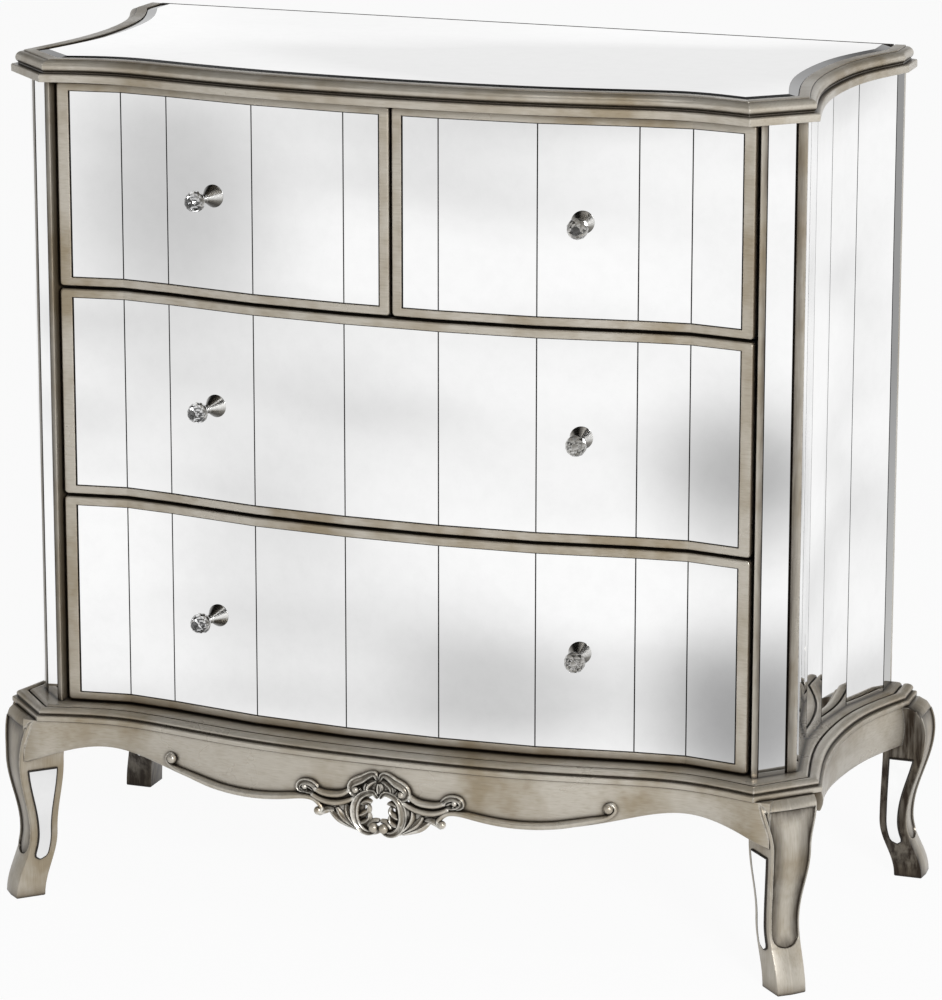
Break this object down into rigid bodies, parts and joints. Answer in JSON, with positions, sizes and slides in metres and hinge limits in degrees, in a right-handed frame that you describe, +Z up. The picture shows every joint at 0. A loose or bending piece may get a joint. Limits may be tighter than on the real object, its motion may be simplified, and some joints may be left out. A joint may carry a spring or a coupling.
{
  "type": "chest of drawers",
  "caption": "Mirror-faced bombe chest with serpentine front, short drawers over long ones, crystal knobs, canted posts, moulded silver-leaf top and base, carved apron and cabriole legs.",
  "frame": {"origin": "middle of the bounding footprint on the floor", "axes": "+X to the right seen from the front, +Y to the back, +Z up; the drawers face -Y"},
  "size_m": [1.0074, 0.4776, 0.955],
  "materials": {
    "silver_leaf": "aged silver leaf over dark base, rubbed edges",
    "mirror": "polished silvered glass",
    "case_wood": "stained carcase wood, matt",
    "back_board": "dark painted plywood, matt",
    "drawer_wood": "clear finished wood, satin",
    "knob_metal": "satin nickel",
    "crystal": "cut crystal, clear",
    "screw_metal": "plain steel"
  },
  "bodies": {
    "case": {"top_board": "case_wood", "top_mirror": "mirror", "top_moulding": "silver_leaf", "side_panel_left": "case_wood", "side_panel_right": "case_wood", "side_mirrors_left": "mirror", "side_mirrors_right": "mirror", "front_post_left": "silver_leaf", "front_post_right": "silver_leaf", "front_post_mirrors": "mirror", "rear_posts": "silver_leaf", "back_panel": "back_board", "case_floor": "case_wood", "drawer_rails": "case_wood", "centre_divider": "case_wood", "drawer_runners": "case_wood", "base_moulding": "silver_leaf", "apron_front": "silver_leaf", "apron_left": "silver_leaf", "apron_right": "silver_leaf", "apron_back": "case_wood", "carving": "silver_leaf", "leg_front_left": "silver_leaf", "leg_front_right": "silver_leaf", "leg_rear_left": "silver_leaf", "leg_rear_right": "silver_leaf", "leg_mirrors": "mirror"},
    "drawer_left": {"drawer_left_front": "silver_leaf", "drawer_left_mirrors": "mirror", "drawer_left_sides": "drawer_wood", "drawer_left_back": "drawer_wood", "drawer_left_bottom": "drawer_wood", "drawer_left_knobs": "knob_metal", "drawer_left_crystals": "crystal", "drawer_left_screws": "screw_metal"},
    "drawer_right": {"drawer_right_front": "silver_leaf", "drawer_right_mirrors": "mirror", "drawer_right_sides": "drawer_wood", "drawer_right_back": "drawer_wood", "drawer_right_bottom": "drawer_wood", "drawer_right_knobs": "knob_metal", "drawer_right_crystals": "crystal", "drawer_right_screws": "screw_metal"},
    "drawer_middle": {"drawer_middle_front": "silver_leaf", "drawer_middle_mirrors": "mirror", "drawer_middle_sides": "drawer_wood", "drawer_middle_back": "drawer_wood", "drawer_middle_bottom": "drawer_wood", "drawer_middle_knobs": "knob_metal", "drawer_middle_crystals": "crystal", "drawer_middle_screws": "screw_metal"},
    "drawer_lower": {"drawer_lower_front": "silver_leaf", "drawer_lower_mirrors": "mirror", "drawer_lower_sides": "drawer_wood", "drawer_lower_back": "drawer_wood", "drawer_lower_bottom": "drawer_wood", "drawer_lower_knobs": "knob_metal", "drawer_lower_crystals": "crystal", "drawer_lower_screws": "screw_metal"}
  },
  "joints": [
    {"name": "drawer_left_slide", "type": "slide", "parent": "case", "child": "drawer_left", "axis": [0, -1, 0], "range_m": [0, 0.26]},
    {"name": "drawer_right_slide", "type": "slide", "parent": "case", "child": "drawer_right", "axis": [0, -1, 0], "range_m": [0, 0.26]},
    {"name": "drawer_middle_slide", "type": "slide", "parent": "case", "child": "drawer_middle", "axis": [0, -1, 0], "range_m": [0, 0.26]},
    {"name": "drawer_lower_slide", "type": "slide", "parent": "case", "child": "drawer_lower", "axis": [0, -1, 0], "range_m": [0, 0.26]}
  ]
}
